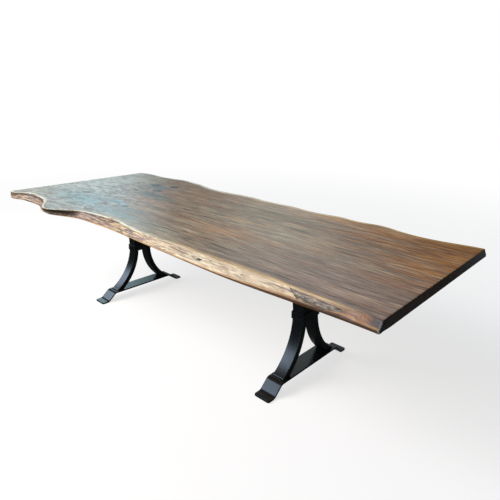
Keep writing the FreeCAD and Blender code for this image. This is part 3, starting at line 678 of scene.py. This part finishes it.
def oiled_walnut():
    """Black walnut, planed, sanded and oiled: chocolate brown heartwood with long gold and near-black
    streaks, open pores a few millimetres long, knots that the grain flows round, and cream sapwood under
    the live edge.  The oil leaves a satin sheen that turns to a pale glare at a low angle.  The streaks and
    pores are drawn somewhat coarser than they are, so that they still show from across a room."""
    material, tree = new_material("oiled_black_walnut")
    length = slab_high.x - slab_low.x

    def add(kind, inputs=None, output=0, **settings):
        return add_field(tree, kind, inputs, output, **settings)

    def in_cells(vector, *cell):
        """The vector measured in cells of these sizes in metres."""
        return add("VectorMath", {0: vector, 1: [1 / size for size in cell]}, operation="MULTIPLY")

    def noise(vector, cell, detail, roughness=0.55, distortion=0.0):
        return add("TexNoise", {"Vector": in_cells(vector, *cell), "Scale": 1.0, "Detail": detail,
                                "Roughness": roughness, "Distortion": distortion})

    def ramp(share, *stops):
        return add("ValToRGB", {"Fac": share}, stops=[(place, linear(code)) for place, code in stops])

    def along_slab(*table):
        """Number that follows a table of (x in metres, value), straight between its places."""
        stops = [((at_x - slab_low.x) / length, (value, value, value, 1.0)) for at_x, value in table]
        return add("ValToRGB", {"Fac": along_share}, stops=stops)

    def apart_from(centre, reach):
        """Way from a place, measured in reaches."""
        return in_cells(add("VectorMath", {0: place, 1: centre}, operation="SUBTRACT"), *reach)

    def spot(at_x, at_y, reach_x, reach_y, at_z=slab_high.z, reach_z=1.0):
        """Bell-shaped share round a place, on the top face unless a height is given."""
        apart = apart_from((at_x, at_y, at_z), (reach_x, reach_y, reach_z))
        square = add("VectorMath", {0: apart, 1: apart}, "Value", operation="DOT_PRODUCT")
        return (square * -1.0).reckon("EXPONENT")

    def layered(ground, *layers):
        """Colour under layers of (share, colour), each laid over the last."""
        for share, colour in layers:
            colour = linear(colour) if isinstance(colour, str) else colour
            ground = add("Mix", {0: share, 6: ground, 7: colour}, 2, data_type="RGBA")
        return ground

    place = add("TexCoord", output="Object")
    x, y, z = (add("SeparateXYZ", {0: place}, axis) for axis in range(3))
    along_share = add("MapRange", {"Value": x, "From Min": slab_low.x, "From Max": slab_high.x})
    drop = (slab_high.z - z) / thickness
    trunk_y, sap_share, bark_depth, hollow_share, groove_share = (
        add("Attribute", output="Fac", attribute_name=name)
        for name in ("grain_y", "sap_share", "bark_depth", "hollow_share", "groove_share"))

    # Grain: its lines wander slowly, more so in the burl at the left end, and spread round each knot.
    wander = noise(place, (0.75, 0.40, 0.40), 2.0) - 0.5
    burl = along_slab((-1.5, 1.0), (-0.9, 0.9), (-0.3, 0.25), (0.3, 0.15))
    ragged_x = wander * 1.6 + x
    burl_grey = (y * 0.55 + ragged_x).smooth(-0.25, -1.25)
    curl = (noise(place, (0.15, 0.08, 0.08), 2.0) - 0.5) * (burl * 0.060)
    grain_y = trunk_y + wander * (burl * 0.12 + 0.01) + curl
    hearts, rings_round = 0.0, 0.0
    for at_x, at_y, reach_x, reach_y, core in (
            (-0.790, 0.372, 0.120, 0.060, 9.0), (-0.775, 0.195, 0.100, 0.045, 9.0),
            (0.300, 0.290, 0.110, 0.040, 60.0), (-0.600, -0.250, 0.120, 0.040, 30.0)):
        pull = spot(at_x, at_y, reach_x, reach_y)
        grain_y = grain_y - (y - at_y) * (pull * 0.8)
        hearts = pull.reckon("POWER", core).reckon("MAXIMUM", hearts)
        rings_round = pull.reckon("POWER", 0.25 * core).reckon("MAXIMUM", rings_round)
    level_z = z - 0.40
    radius = (grain_y * grain_y + level_z * level_z).reckon("SQRT")
    rings_place = add("CombineXYZ", {0: x, 1: radius, 2: grain_y})
    grain_place = add("CombineXYZ", {0: x, 1: grain_y, 2: z})

    # Heartwood: broad bands, short streaks, a few long pale lines and pores.  The burl has a rounder figure.
    # The wood is grey at the left end, olive in the middle, and warm towards the right end and the far side.
    streaks = noise(grain_place, (0.17, 0.0085, 0.03), 6.0, 0.66)
    lines = noise(grain_place, (1.6, 0.011, 0.05), 3.0)
    bands = noise(rings_place, (1.3, 0.045, 0.22), 4.0)
    warm = noise(grain_place, (0.42, 0.030, 0.20), 6.0, 0.66)
    hue = noise(grain_place, (0.32, 0.028, 0.10), 6.0, 0.62)
    figure = noise(place, (0.085, 0.040, 0.05), 6.0, 0.66, 1.0)
    threads = noise(grain_place, (0.24, 0.0048, 0.02), 3.0, 0.60)
    dashes = noise(grain_place, (0.050, 0.0065, 0.0065), 2.0, 0.5)
    pores = noise(grain_place, (0.016, 0.0011, 0.0011), 2.0, 0.5)
    plum = x.smooth(0.1, 1.1) * y.smooth(0.15, -0.40)
    tone = ((streaks - 0.5) * (plum * -0.45 + 1.22) + 0.5 + (bands - 0.5) * 0.50 + (threads - 0.5) * 1.10
            + lines.smooth(0.60, 0.70) * 0.10)
    figured_share = (y * 0.30 + x).smooth(0.0, -0.9)
    tone = add("Mix", {0: figured_share * 0.65, 2: tone, 3: (figure - 0.5) * 1.1 + 0.48})
    to_right = (y * 2.4 + x).smooth(0.2, 2.5)
    gold_share = to_right * to_right * 0.45 + warm.smooth(0.44, 0.64) * (to_right * 0.50 + 0.38)
    stained = (spot(-0.90, -0.33, 0.40, 0.13).reckon("MAXIMUM", spot(-0.50, -0.36, 0.34, 0.11))
               * figure.smooth(0.30, 0.58))
    smoke = (spot(-0.660, 0.085, 0.170, 0.042).reckon("MAXIMUM", spot(-0.850, 0.290, 0.150, 0.070))
             * figure.smooth(0.30, 0.52))
    heartwood = layered(
        ramp(tone, (0.24, "#44352c"), (0.40, "#6b5547"), (0.50, "#806756"), (0.60, "#957965"),
             (0.78, "#bfa386")),
        (hue.smooth(0.50, 0.66) * 0.50, "#9c6a54"),
        (hue.smooth(0.50, 0.34) * 0.40, "#6e6556"),
        (along_slab((-1.4, 0.0), (-0.6, 0.15), (0.1, 0.42), (0.6, 0.40), (1.3, 0.0)),
         ramp(tone, (0.26, "#4a463a"), (0.50, "#7f7a67"), (0.75, "#b0aa8e"))),
        (spot(0.30, -0.17, 0.30, 0.09) * warm.smooth(0.38, 0.54) * 0.50, "#bd8259"),
        (gold_share, ramp(tone, (0.24, "#502f17"), (0.42, "#7d4d25"), (0.58, "#a56a37"), (0.78, "#d09a58"))),
        (plum * 0.46, ramp(tone, (0.20, "#3d322f"), (0.50, "#7d6a63"), (0.82, "#b5a195"))),
        (x.smooth(1.20, 1.52) * y.smooth(0.20, 0.55) * 0.30, "#4a2b12"),
        (dashes.smooth(0.56, 0.70) * (plum * -0.10 + 0.26), "#2b1c16"),
        (dashes.smooth(0.42, 0.30) * 0.26, "#c09a7c"),
        (pores.smooth(0.60, 0.74) * 0.40, "#20130d"),
        (burl_grey * 0.62,
         ramp(tone, (0.20, "#28231d"), (0.42, "#534b40"), (0.58, "#7a7062"), (0.82, "#b1a58e"))),
        (ragged_x.smooth(-1.0, -1.45) * 0.22, "#b1a590"),
        (stained * 0.66, "#2f565c"),
        (spot(-0.650, -0.222, 0.075, 0.026) * 0.66, "#467f91"),
        (smoke * 0.70, "#415f69"),
        (spot(0.300, 0.290, 0.16, 0.07) * 0.45, "#75684a"),
        (rings_round * 0.35, "#c8946a"),
        (hearts * 0.92, "#101216"))
    for knot in ((-0.965, 0.318, 0.050, 0.036), (-0.775, 0.195, 0.050, 0.036),
                 (-0.790, 0.372, 0.050, 0.036), (-0.527, -0.250, 0.032, 0.024)):
        pull = spot(*knot) + (figure - 0.5) * 0.9
        heartwood = layered(heartwood, (pull.smooth(0.28, 0.56) * 0.80, "#232f38"),
                            (pull.smooth(0.90, 1.04) * 0.50, "#b99a78"))

    # Sapwood: tan and cream, streaked with gold, pink and grey where the cambium and a little bark stay.
    # It is greyer towards the left end and brown at the right one.
    mottle = noise(place, (0.110, 0.014, 0.0060), 6.0, 0.66, 0.3)
    stain = noise(place, (0.19, 0.05, 0.012), 4.0, 0.6, 0.4)
    flecks = noise(place, (0.050, 0.010, 0.0030), 3.0, 0.6)
    cracks = noise(place, (0.26, 0.10, 0.0050), 3.0, 0.60)
    paleness = along_slab((-1.52, 0.18), (-1.0, 0.13), (-0.5, 0.14), (-0.1, 0.34), (0.25, 0.56), (0.5, 0.84),
                          (0.75, 1.04), (0.95, 1.04), (1.12, 0.92), (1.30, 0.28), (1.42, 0.00), (1.52, 0.00))
    golden = along_slab((-0.6, 0.0), (-0.1, 0.36), (0.2, 0.42), (0.5, 0.00), (0.95, 0.00), (1.06, 0.40),
                        (1.15, 0.0))
    cream = along_slab((0.35, 0.0), (0.55, 0.22), (0.75, 0.46), (0.90, 0.50), (1.02, 0.42), (1.12, 0.0))
    pinkish = along_slab((-1.1, 0.0), (-0.8, 0.45), (-0.35, 0.40), (0.0, 0.0))
    near_side = y.smooth(0.10, -0.10)
    under_rim = (drop.smooth(0.07, 0.13) * drop.smooth(0.26, 0.18)
                 * (stain.smooth(0.42, 0.56) * x.smooth(0.25, -0.40)))
    sapwood = layered(
        ramp(paleness * 0.19 + (mottle - 0.125), (0.27, "#2f221b"), (0.37, "#604a3d"), (0.45, "#8d705a"),
             (0.53, "#aa9478"), (0.63, "#c5b497"), (0.75, "#d8cdb4")),
        (stain.smooth(0.53, 0.68) * 0.6, "#967a68"),
        (golden * mottle.smooth(0.46, 0.60), "#dcb97e"),
        (cream, "#c8ae91"),
        (cream * flecks.smooth(0.47, 0.60), "#a58570"),
        (pinkish * mottle.smooth(0.50, 0.60), "#947561"),
        (x.smooth(1.02, 1.38) * mottle.smooth(0.40, 0.62) * 0.55, "#8f5c37"),
        (x.smooth(1.25, 1.42) * 0.30, "#5d3d2b"),
        (near_side * x.smooth(1.455, 1.495) * 0.78, "#403837"),
        (stain.smooth(0.46, 0.34) * 0.65, "#67564d"),
        (flecks.smooth(0.60, 0.72) * 0.5, "#3a2b22"),
        (cracks.smooth(0.55, 0.65) * 0.34, "#6b5343"),
        (under_rim * 0.75, "#37281f"))

    # Pale line under the upper rim, and a darker band down to the lower one.
    upper_line = layered(
        ramp(along_share, (0.25, "#b4b3a6"), (0.45, "#b9b29b"), (0.62, "#a98f6e"), (0.80, "#a98d69"),
             (0.86, "#ad8e67"), (0.93, "#b08f66"), (0.98, "#65533f")),
        (mottle.smooth(0.50, 0.38) * x.smooth(1.05, 0.6), "#957048"))
    far_line = ramp(along_share, (0.30, "#cdc8b6"), (0.50, "#dac39c"), (0.80, "#cfa062"), (1.00, "#c08c48"))
    past_line = drop - along_slab((-1.5, 1.02), (0.1, 1.00), (0.55, 0.90), (0.9, 0.82), (1.15, 0.68),
                                  (1.36, 0.60), (1.5, 0.66))
    sapwood = layered(
        sapwood,
        (drop.smooth(0.11, 0.03) * (1.0 - near_side * x.smooth(1.36, 1.50)),
         layered(far_line, (near_side, upper_line))),
        (past_line.smooth(-0.20, -0.07) * x.smooth(-1.05, -0.50) * 0.80,
         layered(linear("#bf946a"), (x.smooth(0.4, 1.0), "#93683a"))),
        (past_line.smooth(-0.05, 0.03) * 0.90, "#3a2211"))

    # A pin knot close to the right end: rings about a point on the edge, seen along Y.
    around = add("VectorMath", {0: apart_from((1.455, 0.0, slab_high.z - 0.010), (0.025, 1e6, 0.0090))},
                 "Value", operation="LENGTH")
    around = around + (mottle - 0.5) * 2.2 + (flecks - 0.5) * 1.0
    pin_knot = around.smooth(1.5, 0.5) * y.smooth(-0.30, -0.40)
    pin_rings = (around * 12.0).reckon("SINE").smooth(-0.3, 0.7)

    # A small dark knot in the middle of the edge, with dark checks to its left and a grey line to its right.
    off_line = (mottle * 0.20 + drop - 0.44).reckon("ABSOLUTE")
    grey_line = (off_line.smooth(0.055, 0.020) * x.smooth(0.56, 0.66) * x.smooth(0.92, 0.82)
                 * flecks.smooth(0.42, 0.56))
    checks = flecks.smooth(0.46, 0.58) * spot(0.47, -0.6, 0.090, 0.5, slab_high.z - 0.017, 0.008)
    small_knot = (flecks - 0.5) * 2.0 + spot(0.564, -0.6, 0.024, 0.5, slab_high.z - 0.020, 0.0052)

    # Bark in its pocket, darker round its rim in painted shade under the pocket's wall, and painted shade in
    # the hollow and the groove.
    ragged = (flecks - 0.5) * 0.006 + bark_depth
    bark_tone = layered(
        ramp(noise(place, (0.034, 0.012, 0.0042), 4.0, 0.62, 0.3), (0.31, "#2b231f"), (0.45, "#554940"),
             (0.57, "#7a695a"), (0.72, "#b8a07c")),
        (ragged.smooth(0.0036, 0.0008) * 0.6, "#33271f"))
    sapwood = layered(
        sapwood,
        (pin_knot * 0.5, "#a06b45"),
        (pin_knot * pin_rings * 0.60, "#4a2b20"),
        (grey_line * 0.60, "#6e6661"),
        (checks * 0.75, "#4c3b34"),
        (small_knot.smooth(0.40, 0.68) * 0.92, "#1b2329"),
        (ragged.smooth(-0.0004, 0.0010), bark_tone),
        (hollow_share * 0.92, "#2a1c0f"),
        (groove_share * 0.85, "#35241c"))

    # Sawn ends drink more oil and go nearly black; the sides and the underside are left duller than the top. A
    # pale blue-grey strip on the right end's eased corners is a painted highlight, and the end grain's
    # blue-grey towards the far side is a painted reflection.
    end_share = x.reckon("ABSOLUTE").smooth(slab_high.x - 0.0014, slab_high.x - 0.0003)
    # Painted highlight: pale blue-grey over the eased corners at the right end, below the top face.
    painted_corner_highlight = (x.smooth(slab_high.x - CORNER_EASE, slab_high.x - 0.6 * CORNER_EASE)
                    * drop.smooth(0.06, 0.20))
    # Painted reflection: the near-black end grain turns blue-grey towards the far side.
    end_grain_and_reflection = layered(ramp(tone, (0.3, "#120c09"), (0.7, "#251912")), (y.smooth(0.10, 0.58), "#3a4046"))
    wood = layered(heartwood, (((mottle - 0.5) * 0.9 + sap_share).smooth(1.25, 0.55), sapwood),
                   (painted_corner_highlight * 0.5, "#868d94"), (end_share * 0.94, end_grain_and_reflection))
    below_top = z.smooth(slab_high.z - 0.0005, slab_high.z - 0.0015)
    dull = figured_share * figure.smooth(0.58, 0.34)
    rough = dull.reckon("MAXIMUM", smoke * 1.2) * 0.15 + (below_top * 0.16 + (streaks * 0.10 + 0.24))
    depth = streaks * 0.5 + (below_top * flecks + pores * -0.2)
    bump = add("Bump", {"Height": depth, "Strength": 0.40, "Distance": 0.0010})
    shader = add("BsdfPrincipled", {"Base Color": wood, "Roughness": rough, "Normal": bump, "IOR": 1.48})
    add_node(tree, "OutputMaterial", {"Surface": shader.output})
    return material


slab = dress("slab_top", slab_mesh, oiled_walnut())
slab.modifiers.clear()
slab.modifiers.new("closed_ends", "WELD").merge_threshold = 0.00001

# Slab bolts and washers: M8 lag bolts with hexagon heads, three under each top bar on wide washers, which
# slide with the slab as it swells and shrinks across the grain.  Bright zinc plate.
BOLT_REACH = 0.310
BOLT_DIAMETER = 0.008
BOLT_HEAD = 0.013
WASHER_DIAMETER = 0.024

washer_low, washer_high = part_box("slab_washers")
bolt_low, bolt_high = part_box("slab_bolts")
head_height = washer_low.z - bolt_low.z
washer_height = washer_high.z - washer_low.z
lag_bolts, washers = [], []
for side in ("left", "right"):
    low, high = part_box(side + "_top_bar")
    for reach in (-BOLT_REACH, 0, BOLT_REACH):
        x, y = (low.x + high.x) / 2, (low.y + high.y) / 2 + reach
        shank = [(-distance, radius, 0) for distance, radius, _ in
                 reversed(thread(0, bolt_high.z - washer_low.z, BOLT_DIAMETER / 2))]
        lag_bolts.append(turned((x, y, washer_low.z), (0, 0, -1), shank + [
            (0, 0.7 * BOLT_HEAD, BOLT_HEAD), (0.8 * head_height, 0.7 * BOLT_HEAD, BOLT_HEAD),
            (0.95 * head_height, 0.52 * BOLT_HEAD, BOLT_HEAD), (head_height, 0.46 * BOLT_HEAD, 0)]))
        rim = WASHER_DIAMETER / 2
        washers.append(turned((x, y, washer_high.z), (0, 0, -1), [
            (fall * washer_height, radius, 0) for fall, radius in (
                (0, 0.6 * BOLT_DIAMETER), (0, 0.98 * rim), (0.2, rim), (0.8, rim), (1, 0.98 * rim),
                (1, 0.6 * BOLT_DIAMETER))]))

# Bright zinc plate: a few microns of zinc on steel, a pale bluish metal, softly spangled, duller than chrome.
zinc = marked_metal("bright_zinc_plate", 0.004, 2.0, (0.26, 0.40), ("#a9adb2", "#c9ccd0"), 1.0)
dress("slab_bolts", skin("slab_bolts", lag_bolts), zinc)
dress("slab_washers", skin("slab_washers", washers, "joined"), zinc)

# Floor and light: a wide pale floor that runs out into a plain white backdrop, under a soft sky that is
# brightest high on the left, dim near the horizon and dark below it.  The floor takes the table's shadow
# but doesn't show in gloss, as a photographer's black flags would have it.
FLOOR_RADIUS = 40.0
FLOOR_POINTS = 96
FLOOR_COLOUR = (0.86, 0.78, 0.74, 1.0)
FLOOR_GLOWS = (1.5, 7.0, 0.70)     # share of glow in the floor: 0.70 up to 1.5 m out, and all of it from 7 m
WHITE = (1.0, 1.0, 1.0, 1.0)       # the backdrop's own glow
SKY_SIDE = (-0.90, -0.44, 0.0)     # the sky is lighter towards this side
SKY_DARK, SKY_DIM = 0.05, 0.66     # its radiance at the other side, and what this side adds
GLOW = 3.5                         # a window's light low on the left, which lies on the slab's far end
GLOW_TINT = (0.70, 1.02, 1.14)
PATCH = 6.0                        # a round softbox high on the left, far away
PATCH_SIDE = (-0.69, -0.50, 0.52)
PATCH_TINT = (0.66, 0.83, 1.05)
SKY_TINT = (0.80, 0.93, 0.96)

floor_mesh = bpy.data.meshes.new("floor")
angle = np.linspace(0, 2 * math.pi, FLOOR_POINTS, endpoint=False)
rim_places = np.stack([FLOOR_RADIUS * np.cos(angle), FLOOR_RADIUS * np.sin(angle), np.zeros(FLOOR_POINTS)], -1)
floor_mesh.from_pydata(rim_places.tolist(), [], [list(range(FLOOR_POINTS))])
floor = bpy.data.objects.new("floor", floor_mesh)
bpy.context.scene.collection.objects.link(floor)
floor.visible_glossy = False
floor_material, tree = new_material("pale_floor")
place = add_field(tree, "TexCoord", output="Object")
distance = add_field(tree, "VectorMath", {0: place}, "Value", operation="LENGTH")
open_floor = distance.smooth(*FLOOR_GLOWS)
matt = add_node(tree, "BsdfDiffuse", {"Color": FLOOR_COLOUR})[0]
glow = add_node(tree, "Emission", {"Color": WHITE})[0]
mixed_floor = add_field(tree, "MixShader", {0: open_floor, 1: matt, 2: glow})
add_node(tree, "OutputMaterial", {"Surface": mixed_floor.output})
floor_mesh.materials.append(floor_material)

world = bpy.data.worlds.new("soft_sky")
world.use_nodes = True
bpy.context.scene.world = world
tree = world.node_tree
tree.nodes.clear()
direction = add_field(tree, "TexCoord", output="Generated")
height = add_field(tree, "SeparateXYZ", {0: direction}, 2)
facing = add_field(tree, "VectorMath", {0: direction, 1: SKY_SIDE}, "Value", operation="DOT_PRODUCT")
toward_patch = add_field(tree, "VectorMath", {0: direction, 1: PATCH_SIDE}, "Value", operation="DOT_PRODUCT")


def scaled(colour, *factors):
    """A colour times several numbers."""
    for factor in factors:
        colour = add_field(tree, "VectorMath", {0: colour, "Scale": factor}, operation="SCALE")
    return colour


sky = scaled((SKY_DIM, SKY_DIM, SKY_DIM), facing.smooth(-0.12, 0.20), facing.smooth(0.22, 0.44, 1.0, 0.05))
sky = add_field(tree, "VectorMath", {0: sky, 1: (SKY_DARK, SKY_DARK, SKY_DARK)}, operation="ADD")
sky = add_field(tree, "VectorMath", {0: sky, 1: SKY_TINT}, operation="MULTIPLY")
sky = scaled(sky, height.smooth(-0.02, 0.02, 0.6, 1.0))
glow = scaled(GLOW_TINT, facing.smooth(0.425, 0.545, 0.0, GLOW), facing.smooth(0.52, 0.78, 1.0, 0.0),
              height.smooth(0.02, 0.36), height.smooth(0.41, 0.54, 1.0, 0.05))
patch = scaled(PATCH_TINT, toward_patch.smooth(0.915, 0.975, 0.0, PATCH))
for light in (glow, patch):
    sky = add_field(tree, "VectorMath", {0: sky, 1: light}, operation="ADD")
sky_light = add_field(tree, "Background", {"Color": sky})
backdrop = add_node(tree, "Background", {"Color": WHITE})[0]
seen = add_node(tree, "LightPath")["Is Camera Ray"]
both = add_field(tree, "MixShader", {0: seen, 1: sky_light, 2: backdrop})
add_node(tree, "OutputWorld", {"Surface": both.output})

# Softbox: a large one of nearly neutral colour for the light on the wood, hung high on the left and aimed
# at the table.  It doesn't show in gloss.
SOFTBOX_SIZE = 3.0
SOFTBOX_POWER = 480.0
SOFTBOX_COLOUR = (0.97, 0.97, 0.94)
SOFTBOX_PLACE = np.array([-2.6, -3.8, 3.6])
SOFTBOX_AIM = np.array([0.1, 0.0, 0.6])

softbox_light = bpy.data.lights.new("softbox", "AREA")
softbox_light.size = SOFTBOX_SIZE
softbox_light.energy = SOFTBOX_POWER
softbox_light.color = SOFTBOX_COLOUR
softbox = bpy.data.objects.new("softbox", softbox_light)
bpy.context.scene.collection.objects.link(softbox)
across, deep, down = SOFTBOX_AIM - SOFTBOX_PLACE
softbox.location = SOFTBOX_PLACE
softbox.rotation_euler = (math.atan2(math.hypot(across, deep), -down), 0, math.atan2(-across, deep))
softbox.visible_camera = False
softbox.visible_glossy = False

# Camera: where the photographer stood, from a fit of the table's edges.
CAMERA_PLACE = (2.2573, -1.9840, 1.5671)
CAMERA_YAW = math.radians(42.656)      # to the left of +Y
CAMERA_PITCH = math.radians(-9.685)
CAMERA_ROLL = math.radians(-0.939)
FOCAL_PIXELS = 480.16
AXIS_PIXEL = (254.45, 169.49)          # where the camera's axis meets the picture of 500 by 500
PICTURE = 500
SENSOR = 36.0

ahead = np.array([-math.sin(CAMERA_YAW) * math.cos(CAMERA_PITCH),
                  math.cos(CAMERA_YAW) * math.cos(CAMERA_PITCH), math.sin(CAMERA_PITCH)])
level = np.array([math.cos(CAMERA_YAW), math.sin(CAMERA_YAW), 0.0])
below = np.cross(ahead, level)
right = level * math.cos(CAMERA_ROLL) + below * math.sin(CAMERA_ROLL)
below = below * math.cos(CAMERA_ROLL) - level * math.sin(CAMERA_ROLL)
camera_data = bpy.data.cameras.new("camera")
camera_data.sensor_fit = "HORIZONTAL"
camera_data.sensor_width = SENSOR
camera_data.lens = FOCAL_PIXELS / PICTURE * SENSOR
camera_data.shift_x = -(AXIS_PIXEL[0] / PICTURE - 0.5)
camera_data.shift_y = AXIS_PIXEL[1] / PICTURE - 0.5
camera = bpy.data.objects.new("camera", camera_data)
bpy.context.scene.collection.objects.link(camera)
pose = np.eye(4)
pose[:3, 0], pose[:3, 1], pose[:3, 2], pose[:3, 3] = right, -below, -ahead, CAMERA_PLACE
camera.matrix_world = Matrix(pose.tolist())
bpy.context.scene.camera = camera
bpy.context.scene.view_settings.view_transform = "Standard"
